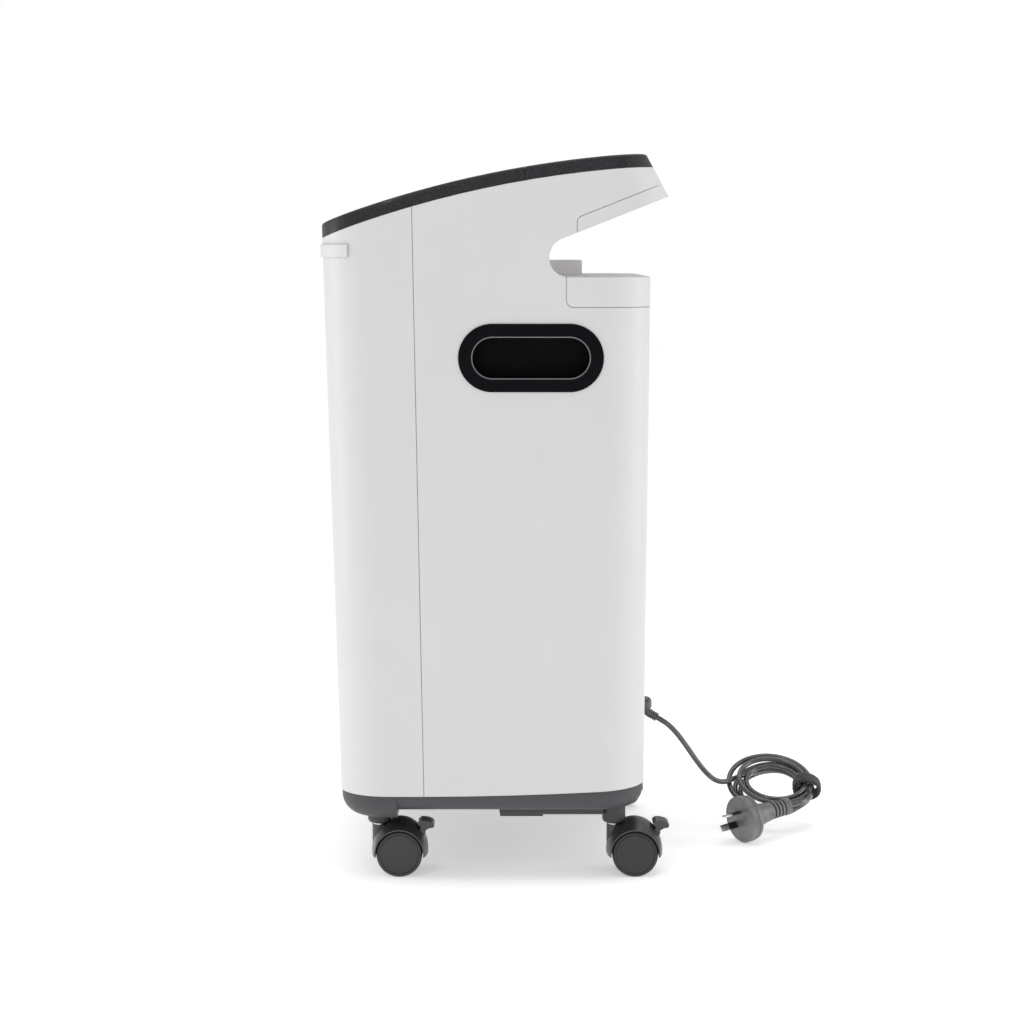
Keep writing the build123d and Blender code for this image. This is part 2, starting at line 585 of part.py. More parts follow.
# ------------------------------------------------------------------ casters
def caster(x, y, heading):
    """Twin-wheel caster: hood, wheels, steel pins and brake lever, trailing to the rear, then turned."""
    wy = y + TRAIL
    half = WEB / 2 + 1 + WHEEL_W + 0.5
    pivot = (wy + 19.5, WHEEL_R + 17.0)

    def across(offset):
        return Plane(origin=(x + offset, wy, WHEEL_R), x_dir=(0, 1, 0), z_dir=(1, 0, 0))

    def disc(radius, x0, x1):
        return extrude(across(x0) * Circle(radius), amount=x1 - x0)

    rings = []
    for t in (-1, -0.5, 0, 0.5, 1):
        crown = 1 - t * t
        rings.append(across(t * half) * Ellipse(21.7 + 2.9 * crown, 21.9 + 7.1 * crown))
    hood = loft(rings)
    hood -= block((x - 30, x + 30), (wy - 40, wy + 40), (-20, 17.5))
    hood += disc(9, -WEB / 2, WEB / 2)
    hood += Pos(x, y, 26) * Cylinder(6.4, COLLAR_Z - 27.4, align=STANDING)
    hood -= Pos(x, y, COLLAR_Z - 1.4) * Cylinder(COLLAR_R + 0.8, 20, align=STANDING)
    hood -= disc(WHEEL_R + 0.8, WEB / 2, 40) + disc(WHEEL_R + 0.8, -40, -WEB / 2)
    slot = block((x - 10.3, x + 10.3), (pivot[0] - 1.5, wy + 60), (pivot[1], 70))
    hood -= slot + Pos(x, *pivot) * Rot(0, 90, 0) * Cylinder(3.4, 20.6)
    hood -= disc(AXLE_R, -40, 40) + Pos(x, y, 36) * Cylinder(STEM_R, 20, align=STANDING)

    wheels = Part()
    for side in (-1, 1):
        x0, x1 = sorted((side * (WEB / 2 + 1), side * (WEB / 2 + 1 + WHEEL_W)))
        wheel = disc(WHEEL_R, x0, x1)
        outer = wheel.edges().group_by(Axis.X)[-1 if side > 0 else 0]
        wheel = fillet(outer, 2.4)
        inner = wheel.edges().group_by(Axis.X)[0 if side > 0 else -1]
        wheel = fillet(inner, 0.8)
        face_x = side * (WEB / 2 + 1 + WHEEL_W)
        g0, g1 = sorted((face_x, face_x - side * 0.6))
        wheel -= disc(17.2, g0, g1) - disc(16.6, g0, g1)
        b0, b1 = sorted((side * WEB / 2, side * 17.5))
        wheels += wheel - disc(AXLE_R + 0.05, b0, b1)

    pins = disc(AXLE_R, -17, 17)
    pins += Pos(x, y, 36) * Cylinder(STEM_R, 36, align=STANDING)
    pins += Pos(x, y, COLLAR_Z - 1.4) * Cylinder(5.8, 1.0, align=STANDING)

    outline = Polyline((16.2, 43.2), (16.0, 45.2), (18.5, 47.2), (23.5, 47.4), (28.4, 45.8), (30.2, 43.2),
                       (29.4, 41.0), (25.5, 40.4), (22.6, 38.6), (21.9, 37.5), (17.5, 38.0), (18.2, 41.6),
                       close=True)
    plane = Plane(origin=(x, wy, 0), x_dir=(0, 1, 0), z_dir=(1, 0, 0))
    lever = extrude(plane * make_face(outline), amount=9.6, both=True)
    lever += Pos(x, *pivot) * Rot(0, 90, 0) * Cylinder(3.0, 19.2)
    for i in range(5):
        lever -= Pos(x, wy + 18.9 + i * 2.3, 48.1 - 0.12 * i * i) * Rot(0, 90, 0) * Cylinder(0.9, 30)
    turn = Pos(x, y, 0) * Rot(0, 0, heading) * Pos(-x, -y, 0)
    return {"hood": turn * hood, "wheels": turn * wheels, "pins": turn * pins, "brake": turn * lever}


# ------------------------------------------------------------------ cord
CORD_ROUTE = [
    relief_end(0), relief_end(6), (-0.8, 159.6, 103.4), (-2.4, 167.1, 95.4), (-5.5, 175.3, 84.0),
    (-10, 184.7, 69.6), (-15.5, 194.3, 56.4), (-22, 202.9, 47.6), (-28.5, 210.7, 43.6), (-35, 217.5, 43.2),
    (-41, 223.5, 44.4),
]


def cord_radii(points):
    """One radius for each corner: 0.45 of its shorter run, over the tangent of half the turn."""
    radii = []
    for a, b, c in zip(points, points[1:], points[2:]):
        u, v = Vector(b) - Vector(a), Vector(c) - Vector(b)
        half_turn = radians(u.get_angle(v)) / 2
        radii.append(0.45 * min(u.length, v.length) / tan(half_turn))
    return radii


def power_cord():
    """The free run, from the strain relief to where it enters the coil."""
    radii = cord_radii(CORD_ROUTE)
    line = FilletPolyline(*CORD_ROUTE, radius=radii)
    tube = sweep(Plane(origin=line @ 0, z_dir=line % 0) * Circle(CORD_D / 2), path=line)
    expected = pi * CORD_D ** 2 / 4 * line.length
    print("cord radii", [round(r, 1) for r in radii])
    print("cord length", round(line.length, 1), "volume against section times length", tube.volume / expected)
    return tube


def coil_frame():
    return Pos(*COIL_CENTRE) * Rot(0, COIL_TILT, 0)


def cord_coil():
    return coil_frame() * Torus(COIL_R, COIL_TUBE)


def cord_tie():
    """A hook-and-loop band round the coil, on the side away from the machine."""
    band = Torus(COIL_R, COIL_TUBE + 1.6) - Torus(COIL_R, COIL_TUBE)
    wedge = extrude(make_face(Polyline((0, 0), (-14, 70), (14, 70), close=True)), amount=40, both=True)
    return coil_frame() * Rot(0, 0, -14) * (band & wedge)


def plug_body():
    """A moulded plug: a thick disc in two layers behind the pins, a neck, and a ribbed boot."""
    outline = Polyline((0, 0), (20.7, 0), (21.5, 0.8), (21.5, 7.0), (20.8, 7.6), (20.8, 8.1), (21.3, 8.6),
                       (20.4, 12.2), (18.4, 13.8), (13.4, 15.4), (10.8, 20.0), (9.2, 28.0), (8.2, 36.0),
                       (7.8, 51.0), (8.3, 52.0), (8.3, 55.6), (4.6, 57.5), (0, 57.5), close=True)
    body = revolve(Plane.XZ * make_face(outline), axis=Axis.Z)
    for i in range(4):
        body -= Pos(0, 0, 36.6 + i * 4) * (Cylinder(9.5, 1.8) - Cylinder(5.4, 1.8))
    return Plane(origin=PLUG_FACE, z_dir=-PLUG_DIR) * body


def plug_pins():
    """Two flat pins set as a V, each a blade with its end chamfered."""
    frame = Plane(origin=PLUG_FACE, x_dir=Vector(0, 0, 1).cross(PLUG_DIR), z_dir=PLUG_DIR)
    pins = Part()
    for side in (-1, 1):
        pin = extrude(Pos(side * 6.9, 3.0) * Rot(0, 0, side * 30) * Rectangle(1.6, 6.3), amount=PIN_LENGTH)
        pins += chamfer(pin.edges().group_by(Axis.Z)[-1], 0.4)
    return frame * Rot(0, 0, PIN_ROLL) * pins


def build():
    nodes = {
        "front_shell": front_shell(), "rear_shell": rear_shell(), "base_pan": base_pan(),
        "control_panel": control_panel(), "rear_top_cap": rear_top_cap(),
        "handle_liner": handle_liner(), "shelf_cap": shelf_cap(), "display_window": display_window(),
        "grip_right": grip(), "grip_left": mirror(grip(), about=Plane.YZ),
        "tubing_clip": tubing_clip(), "outlet_bay": outlet_bay(), "flow_tube": flow_tube(),
        "flow_float": flow_float(), "flow_knob": flow_knob(), "oxygen_outlet": oxygen_outlet(),
        "power_rocker": power_rocker(), "filter_door": filter_door(), "filter_foam": filter_foam(),
        "strain_relief": strain_relief(), "breaker_button": breaker_button(),
        "shell_screws": shell_screws(), "inner_frame": inner_frame(),
        "isolation_mounts": isolation_mounts(), "compressor_case": compressor_case(),
        "compressor_heads": compressor_heads(), "fan_frame": fan_frame(), "fan_rotor": fan_rotor(),
        "sieve_beds": sieve_beds(), "product_tank": canister(0, 40),
        "valve_manifold": valve_manifold(), "heat_exchanger": heat_exchanger(),
        "main_board": main_board(), "run_capacitor": run_capacitor(),
        "inlet_filter": inlet_filter(), "inner_hoses": inner_hoses(),
        "power_cord": power_cord(), "cord_coil": cord_coil(), "cord_tie": cord_tie(),
        "plug_body": plug_body(), "plug_pins": plug_pins(),
    }
    for name, x in zip(("key_minus", "key_timer", "key_plus"), KEY_XS):
        nodes[name] = key(x)
    for row, y in (("front", CASTER_FRONT_Y), ("rear", CASTER_REAR_Y)):
        for side, x in (("right", CASTER_X), ("left", -CASTER_X)):
            heading = SWUNG if (row, side) == ("rear", "left") else 0
            for piece, shape in caster(x, y, heading).items():
                nodes[f"caster_{piece}_{row}_{side}"] = shape
    return nodes


if __name__ == "__main__":
    os.makedirs("parts", exist_ok=True)
    for name, shape in build().items():
        export_step(shape, f"parts/{name}.step")
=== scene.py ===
import math

import bpy
from mathutils import Matrix, Vector
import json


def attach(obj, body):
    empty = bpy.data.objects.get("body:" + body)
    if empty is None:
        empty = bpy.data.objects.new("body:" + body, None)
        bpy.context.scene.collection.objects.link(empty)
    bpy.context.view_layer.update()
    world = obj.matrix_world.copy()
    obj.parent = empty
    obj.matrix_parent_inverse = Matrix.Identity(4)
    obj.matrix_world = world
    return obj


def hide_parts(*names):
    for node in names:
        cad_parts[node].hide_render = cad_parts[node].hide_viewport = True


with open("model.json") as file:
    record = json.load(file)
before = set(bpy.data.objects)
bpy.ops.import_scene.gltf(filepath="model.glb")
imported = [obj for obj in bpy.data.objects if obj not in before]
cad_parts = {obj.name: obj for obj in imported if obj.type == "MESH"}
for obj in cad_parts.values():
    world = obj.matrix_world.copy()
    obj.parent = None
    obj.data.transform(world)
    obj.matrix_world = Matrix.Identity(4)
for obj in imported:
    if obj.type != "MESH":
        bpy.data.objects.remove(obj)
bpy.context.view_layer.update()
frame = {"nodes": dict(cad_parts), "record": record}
MM = 0.001
NODES = frame["nodes"]


# ---------------------------------------------------------------- node helpers
class Shader:
    """A node material with a Principled shader, and short ways to add nodes to it."""

    def __init__(self, name, colour, roughness, metallic=0.0, specular=0.5):
        self.material = bpy.data.materials.new(name)
        self.material.use_nodes = True
        self.tree = self.material.node_tree
        self.bsdf = self.tree.nodes["Principled BSDF"]
        self.colour = colour
        self.set("Base Color", (*colour, 1.0))
        self.set("Roughness", roughness)
        self.set("Metallic", metallic)
        self.set("Specular IOR Level", specular)
        self.place = self.node("ShaderNodeTexCoord").outputs["Object"]

    def set(self, socket, value):
        self.bsdf.inputs[socket].default_value = value

    def node(self, kind, **settings):
        made = self.tree.nodes.new(kind)
        for key, value in settings.items():
            setattr(made, key, value)
        return made

    def link(self, out, into):
        self.tree.links.new(out, into)

    def noise(self, size, detail=2.0, roughness=0.5, stretch=None):
        """A noise value whose features are about size metres across."""
        tex = self.node("ShaderNodeTexNoise")
        tex.inputs["Scale"].default_value = 1.0 / size
        tex.inputs["Detail"].default_value = detail
        tex.inputs["Roughness"].default_value = roughness
        self.link(self.stretched(stretch) if stretch else self.place, tex.inputs["Vector"])
        return tex.outputs["Fac"]

    def stretched(self, stretch):
        mapping = self.node("ShaderNodeMapping")
        mapping.inputs["Scale"].default_value = stretch
        self.link(self.place, mapping.inputs["Vector"])
        return mapping.outputs["Vector"]

    def span(self, value, low, high, from_low=0.0, from_high=1.0):
        """A value carried from the range from_low to from_high into low to high."""
        ramp = self.node("ShaderNodeMapRange")
        ramp.inputs["From Min"].default_value = from_low
        ramp.inputs["From Max"].default_value = from_high
        ramp.inputs["To Min"].default_value = low
        ramp.inputs["To Max"].default_value = high
        self.link(value, ramp.inputs["Value"])
        return ramp.outputs["Result"]

    def maths(self, operation, first, second=None):
        made = self.node("ShaderNodeMath", operation=operation)
        for into, value in zip(made.inputs, (first, second)):
            if isinstance(value, float):
                into.default_value = value
            elif value is not None:
                self.link(value, into)
        return made.outputs[0]

    def mix(self, factor, first, second):
        """A colour between two, each an RGB triple or a colour output."""
        mixer = self.node("ShaderNodeMix", data_type="RGBA")
        self.link(factor, mixer.inputs["Factor"])
        for key, colour in (("A", first), ("B", second)):
            into = [s for s in mixer.inputs if s.name == key and s.type == "RGBA"][0]
            if isinstance(colour, tuple):
                into.default_value = (*colour, 1.0)
            else:
                self.link(colour, into)
        return [s for s in mixer.outputs if s.type == "RGBA"][0]

    def paint(self, colour):
        self.link(colour, self.bsdf.inputs["Base Color"])

    def vary_roughness(self, size, low, high):
        self.link(self.span(self.noise(size, 3.0), low, high, 0.3, 0.7), self.bsdf.inputs["Roughness"])

    def bumps(self, *layers, rounding=0.0):
        """Stacks (value, depth in metres, strength) layers on the normal, over softly rounded edges."""
        normal = None
        if rounding:
            bevel = self.node("ShaderNodeBevel", samples=4)
            bevel.inputs["Radius"].default_value = rounding
            normal = bevel.outputs["Normal"]
        for value, depth, strength in layers:
            bump = self.node("ShaderNodeBump")
            bump.inputs["Distance"].default_value = depth
            bump.inputs["Strength"].default_value = strength
            self.link(value, bump.inputs["Height"])
            if normal is not None:
                self.link(normal, bump.inputs["Normal"])
            normal = bump.outputs["Normal"]
        if normal is not None:
            self.link(normal, self.bsdf.inputs["Normal"])

    def shade(self, dark, light, size=0.06):
        """Mottles the base colour gently between two multiples of itself."""
        low = tuple(c * dark for c in self.colour)
        high = tuple(min(1.0, c * light) for c in self.colour)
        mixed = self.mix(self.span(self.noise(size, 4.0), 0, 1, 0.3, 0.7), low, high)
        self.paint(mixed)
        return mixed


# ---------------------------------------------------------------- materials
GRIP_Y, GRIP_Z, GRIP_HALF = 0.0293, 0.4526, 0.0325      # middle of the grip, and half its straight stretch
GRAIN = 0.00045                                          # spark-eroded grain of the mouldings
WHITE = (0.690, 0.682, 0.686)
SLEEVE = 0.0095                                          # insulated length of the plug's pins
PLUG_FACE = Vector((36.0, 222.5, 21.8)) * MM
PLUG_DIR = Vector((0.515, -0.845, -0.125)).normalized()


def grip_plastic(name):
    """Black moulding, satin, with a pale line of painted highlight, glossier too, where the rim of the cup
    turns inward.
    """
    s = Shader(name, (0.0018, 0.0022, 0.0036), 0.34, specular=0.08)
    base = s.shade(0.7, 1.4, 0.01)
    split = s.node("ShaderNodeSeparateXYZ")
    s.link(s.place, split.inputs["Vector"])
    from_middle = s.maths("ABSOLUTE", s.maths("SUBTRACT", split.outputs["Y"], GRIP_Y))
    along = s.maths("SUBTRACT", from_middle, GRIP_HALF)
    up = s.maths("SUBTRACT", split.outputs["Z"], GRIP_Z)
    past_end = s.maths("MAXIMUM", along, 0.0)
    squares = s.maths("ADD", s.maths("MULTIPLY", past_end, past_end), s.maths("MULTIPLY", up, up))
    radius = s.maths("SQRT", squares)
    side = s.maths("ABSOLUTE", split.outputs["X"])
    outside = s.span(radius, 0, 1, 0.0169, 0.0171)
    inside = s.span(radius, 1, 0, 0.0178, 0.0182)
    near_lip = s.maths("MULTIPLY", outside, inside)
    lip_highlight = s.maths("MULTIPLY", near_lip, s.span(side, 0, 1, 0.1852, 0.1856))
    # painted highlight: the pale grey base colour along the cup's rim stands for light caught on its edge
    s.paint(s.mix(lip_highlight, base, (0.19, 0.195, 0.205)))
    s.link(s.span(lip_highlight, 0.36, 0.18), s.bsdf.inputs["Roughness"])
    s.bumps((s.noise(0.0004, 3.0), 0.00003, 0.5), rounding=0.0004)
    return s.material


def moulded(name, colour, roughness, depth=0.00004, specular=0.4, mottle=0.04, rounding=0.0004):
    """Injection-moulded plastic: fine spark-eroded grain, slight flow mottling, uneven sheen."""
    s = Shader(name, colour, roughness, specular=specular)
    s.shade(1 - mottle, 1 + mottle)
    s.vary_roughness(0.03, roughness - 0.05, roughness + 0.05)
    s.bumps((s.noise(0.09, 1.0), 0.0004, 0.06), (s.noise(GRAIN, 3.0), depth, 0.5), rounding=rounding)
    return s.material


def speckled(name):
    """Charcoal panel with a fine pale fleck, like a metallic-filled resin."""
    s = Shader(name, (0.012, 0.0125, 0.015), 0.36, specular=0.34)
    base = s.shade(0.8, 1.25, 0.02)
    fleck = s.node("ShaderNodeTexVoronoi")
    fleck.inputs["Scale"].default_value = 900
    s.link(s.place, fleck.inputs["Vector"])
    dots = s.span(fleck.outputs["Distance"], 1, 0, 0.12, 0.34)
    some = s.span(s.noise(0.0011, 1.0), 0, 1, 0.5, 0.62)
    s.paint(s.mix(s.maths("MULTIPLY", dots, some), base, (0.13, 0.135, 0.14)))
    s.vary_roughness(0.02, 0.36, 0.5)
    s.bumps((s.noise(0.0005, 3.0), 0.00004, 0.6), rounding=0.0005)
    return s.material


def metal(name, colour, roughness, brushed=(1, 1, 1), depth=0.00002):
    s = Shader(name, colour, roughness, metallic=1.0)
    s.shade(0.88, 1.08, 0.01)
    s.vary_roughness(0.006, roughness - 0.08, roughness + 0.1)
    s.bumps((s.noise(0.0004, 3.0, stretch=brushed), depth, 0.5), rounding=0.0002)
    return s.material


def glossy_window(name):
    """Smoked display window: dark under a clear polished face, with faint wipe marks."""
    s = Shader(name, (0.006, 0.007, 0.009), 0.07, specular=0.45)
    s.shade(0.8, 1.3, 0.04)
    s.vary_roughness(0.012, 0.05, 0.14)
    s.bumps((s.noise(0.02, 1.0), 0.0001, 0.04), rounding=0.0004)
    s.set("Coat Weight", 0.6)
    s.set("Coat Roughness", 0.04)
    return s.material


def clear_block(name):
    s = Shader(name, (0.95, 0.98, 1.0), 0.04, specular=0.5)
    s.shade(0.97, 1.0, 0.01)
    s.vary_roughness(0.01, 0.02, 0.07)
    s.set("Transmission Weight", 0.95)
    s.set("IOR", 1.49)
    s.bumps((s.noise(0.012, 1.0), 0.0001, 0.05))
    return s.material


def foam(name):
    """Open-cell foam: a sponge of small pores, darker in their hollows as painted shade."""
    s = Shader(name, (0.05, 0.05, 0.055), 0.95, specular=0.1)
    pores = s.node("ShaderNodeTexVoronoi")
    pores.inputs["Scale"].default_value = 620
    s.link(s.place, pores.inputs["Vector"])
    depth = s.span(pores.outputs["Distance"], 0, 1, 0.1, 0.5)
    # painted shade: the base colour darkens with the depth of each pore
    s.paint(s.mix(depth, (0.012, 0.012, 0.014), (0.09, 0.09, 0.095)))
    s.vary_roughness(0.004, 0.85, 1.0)
    s.bumps((depth, 0.0008, 0.9))
    return s.material


def cord_pvc(name, colour, roughness=0.38):
    """Soft PVC: smooth, with drag lines, dust-grey patches and a bright sheen."""
    s = Shader(name, colour, roughness, specular=1.0)
    s.shade(0.7, 1.35, 0.012)
    s.vary_roughness(0.01, roughness - 0.08, roughness + 0.1)
    s.bumps((s.noise(0.0009, 3.0), 0.00005, 0.5), (s.noise(0.006, 1.0), 0.0002, 0.2), rounding=0.0003)
    return s.material


def tie_fabric(name):
    """Hook-and-loop strap: fuzzy dark loops over a woven back, painted lighter where the loops rise and
    darker as painted shade where they sink.
    """
    s = Shader(name, (0.055, 0.056, 0.06), 0.95, specular=0.15)
    loops = s.noise(0.0006, 4.0, 0.7)
    ribs = s.node("ShaderNodeTexVoronoi")
    ribs.inputs["Scale"].default_value = 1300
    s.link(s.place, ribs.inputs["Vector"])
    # painted light and shade: colour follows the loop height, dark in the hollows and light on the raised
    # loops
    s.paint(s.mix(s.span(loops, 0, 1, 0.35, 0.7), (0.018, 0.018, 0.021), (0.10, 0.10, 0.106)))
    s.vary_roughness(0.002, 0.85, 1.0)
    s.bumps((ribs.outputs["Distance"], 0.0003, 0.7), (loops, 0.0004, 0.8))
    s.set("Sheen Weight", 0.25)
    return s.material


def board(name):
    """Solder mask with darker islands scattered at random."""
    s = Shader(name, (0.012, 0.09, 0.035), 0.35)
    s.paint(s.mix(s.span(s.noise(0.004, 2.0), 0, 1, 0.48, 0.52), (0.010, 0.075, 0.03), (0.018, 0.12, 0.05)))
    s.vary_roughness(0.004, 0.28, 0.45)
    s.bumps((s.noise(0.003, 2.0), 0.0001, 0.4))
    return s.material


def sleeved_pin(name, origin, along, sleeve):
    """Plated blade with a black insulating sleeve as far as sleeve metres from the plug's face."""
    s = Shader(name, (0.72, 0.70, 0.66), 0.24, metallic=1.0)
    mapping = s.node("ShaderNodeVectorMath", operation="SUBTRACT")
    mapping.inputs[1].default_value = origin
    s.link(s.place, mapping.inputs[0])
    dot = s.node("ShaderNodeVectorMath", operation="DOT_PRODUCT")
    dot.inputs[1].default_value = along
    s.link(mapping.outputs[0], dot.inputs[0])
    bare = s.span(dot.outputs["Value"], 0, 1, sleeve - 0.0002, sleeve + 0.0002)
    scuffed = s.mix(s.noise(0.001, 3.0), (0.60, 0.58, 0.54), (0.82, 0.80, 0.77))
    s.paint(s.mix(bare, (0.008, 0.008, 0.009), scuffed))
    s.link(bare, s.bsdf.inputs["Metallic"])
    s.link(s.span(bare, 0.5, 0.22), s.bsdf.inputs["Roughness"])
    s.bumps((s.noise(0.0004, 2.0), 0.00003, 0.5), rounding=0.0002)
    return s.material


def make_materials():
    """One material for each slot of the record."""
    return {
        "shell_white": moulded("white_casing", WHITE, 0.42, specular=0.42, mottle=0.012, rounding=0.0013),
        "panel_dark": speckled("charcoal_panel"),
        "base_dark": moulded("dark_base", (0.060, 0.061, 0.066), 0.5, depth=0.00007, specular=0.4),
        "grip_black": grip_plastic("black_grip"),
        "key_grey": moulded("key_caps", (0.24, 0.245, 0.25), 0.45),
        "window_black": glossy_window("smoked_window"),
        "clip_grey": moulded("clip_plastic", (0.95, 0.94, 0.92), 0.45),
        "bay_dark": moulded("bay_plastic", (0.045, 0.047, 0.052), 0.5, depth=0.00006),
        "clear_acrylic": clear_block("clear_acrylic"),
        "float_red": moulded("float_red", (0.55, 0.02, 0.015), 0.2, specular=0.5, rounding=0.0),
        "knob_black": moulded("black_plastic", (0.012, 0.012, 0.013), 0.45, specular=0.35),
        "outlet_metal": metal("plated_outlet", (0.78, 0.78, 0.80), 0.2),
        "foam_grey": foam("intake_foam"),
        "screw_steel": metal("zinc_screws", (0.60, 0.60, 0.61), 0.35),
        "sheet_steel": metal("zinc_sheet", (0.50, 0.51, 0.52), 0.5, (1, 0.1, 1)),
        "rubber_black": moulded("mount_rubber", (0.015, 0.015, 0.016), 0.75, specular=0.25),
        "cast_alloy": metal("cast_alloy", (0.55, 0.56, 0.57), 0.5, depth=0.0001),
        "canister_alloy": metal("drawn_alloy", (0.68, 0.69, 0.71), 0.32, (1, 1, 0.05)),
        "board_green": board("solder_mask"),
        "capacitor_white": moulded("filled_nylon", (0.6, 0.6, 0.57), 0.5),
        "caster_black": moulded("caster_nylon", (0.034, 0.034, 0.036), 0.34, depth=0.00006, specular=0.7),
        "wheel_black": moulded("wheel_nylon", (0.031, 0.031, 0.033), 0.48, depth=0.00015, specular=0.5,
                               mottle=0.22),
        "pin_steel": metal("caster_steel", (0.66, 0.66, 0.67), 0.25, (1, 1, 0.1)),
        "cord_grey": cord_pvc("cord_pvc", (0.046, 0.046, 0.048), 0.16),
        "tie_fabric": tie_fabric("hook_and_loop"),
        "plug_grey": cord_pvc("plug_pvc", (0.112, 0.112, 0.117), 0.4),
        "plug_pin": sleeved_pin("sleeved_pins", PLUG_FACE, PLUG_DIR, SLEEVE),
        "hose_grey": cord_pvc("hose_silicone", (0.42, 0.42, 0.41), 0.5),
    }


MATERIALS = make_materials()


def dress_frame():
    """Gives each carried-over node the material of its slot."""
    for part in frame["record"]["subparts"]:
        node = NODES[part["node"]]
        for slot in node.material_slots:
            slot.material = MATERIALS[part["material_slot"]]
        if not node.material_slots:
            node.data.materials.append(MATERIALS[part["material_slot"]])


dress_frame()


# ---------------------------------------------------------------- mesh helpers
def finish_piece(obj, slot, body):
    obj.data.materials.append(MATERIALS[slot])
    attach(obj, body)
    return obj


def mesh_object(name, verts, faces, smooth=True):
    mesh = bpy.data.meshes.new(name)
    mesh.from_pydata(verts, [], faces)
    mesh.validate()
    for polygon in mesh.polygons:
        polygon.use_smooth = smooth
    obj = bpy.data.objects.new(name, mesh)
    bpy.context.scene.collection.objects.link(obj)
    return obj


# ---------------------------------------------------------------- cord
CORD_D = 5.0
RELIEF_Y, RELIEF_Z, RELIEF_DROP, RELIEF_REACH, RELIEF_DIP = 137.8, 125.5, 8.62, 11.62, math.radians(30.0)
COIL_CENTRE, COIL_R, COIL_TILT = Vector((-42.0, 262.3, 37.8)), 34.0, math.radians(27.0)
PLUG_LENGTH, PLUG_OVERLAP = 57.5, 4.0                    # the cord ends a little inside the plug's tail
PULLED_IN = 2.5                                          # how much smaller the coil is under the tie
STRANDS, START_ANGLE, TOTAL_TURNS, STEPS = 6, math.radians(-120.0), 5.4, 16
FIRST_PLACE = math.radians(200.0)                        # where the first strand lies in the bundle
TIE_ANGLE = math.radians(86.0)


def relief_end(distance):
    """A point on the cord's line, distance beyond the end of the strain relief."""
    reach = RELIEF_REACH + distance
    return Vector((0, RELIEF_Y + reach * math.cos(RELIEF_DIP),
                   RELIEF_Z - RELIEF_DROP - reach * math.sin(RELIEF_DIP)))


FREE_ROUTE = [
    relief_end(0), relief_end(6), (-0.8, 159.6, 103.4), (-2.4, 167.1, 95.4), (-5.5, 175.3, 84.0),
    (-10, 184.7, 69.6), (-15.5, 194.3, 56.4), (-22, 202.9, 47.6), (-28.5, 210.7, 43.6), (-35, 217.5, 43.2),
    (-41, 223.5, 44.4),
]
INTO_COIL = [(-47.5, 230.6, 45.2), (-54, 238.2, 45.8)]
OUT_OF_COIL = [(-27, 292.5, 35), (-13, 293.5, 32.5), (-2, 286, 31.3), (4, 276, 29.7)]


def coil_point(angle, radius, height):
    """A point in the tilted frame of the coil."""
    local = Vector((radius * math.cos(angle), radius * math.sin(angle), height))
    return COIL_CENTRE + Matrix.Rotation(COIL_TILT, 3, "Y") @ local


def coil_points():
    """Loose turns, wound clockwise: strands keep their own places in the bundle and fan out off the tie."""
    points = []
    count = int(TOTAL_TURNS * STEPS)
    for i in range(1, count + 1):
        turn = i / STEPS
        angle = START_ANGLE - 2 * math.pi * turn
        place = FIRST_PLACE + 2 * math.pi * turn / STRANDS
        away = (1 - math.sin(angle)) / 2
        spread = 5.4 + 3.0 * away
        wander = away * 2.4 * math.sin(2.4 * turn + 0.6)
        lift = away * 2.2 * math.sin(1.7 * turn + 2.0)
        radius = COIL_R - 0.5 - PULLED_IN * (1 - away) + wander
        points.append(coil_point(angle, radius + spread * math.cos(place), lift + spread * math.sin(place)))
    return points


def make_cord():
    tail_end = PLUG_FACE / MM - PLUG_DIR * (PLUG_LENGTH - PLUG_OVERLAP)
    route = FREE_ROUTE + INTO_COIL + coil_points() + OUT_OF_COIL + [tail_end - PLUG_DIR * 4.0, tail_end]
    curve = bpy.data.curves.new("mains_cord", "CURVE")
    curve.dimensions = "3D"
    spline = curve.splines.new("NURBS")
    spline.points.add(len(route) - 1)
    for knot, place in zip(spline.points, route):
        knot.co = (*(Vector(place) * MM), 1.0)
    spline.order_u = 3
    spline.use_endpoint_u = True
    spline.resolution_u = 8
    curve.bevel_depth = CORD_D / 2 * MM
    curve.bevel_resolution = 6
    curve.use_fill_caps = True
    cord = bpy.data.objects.new("mains_cord", curve)
    bpy.context.scene.collection.objects.link(cord)
    finish_piece(cord, "cord_grey", "root")
    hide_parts("power_cord", "cord_coil")
    return cord


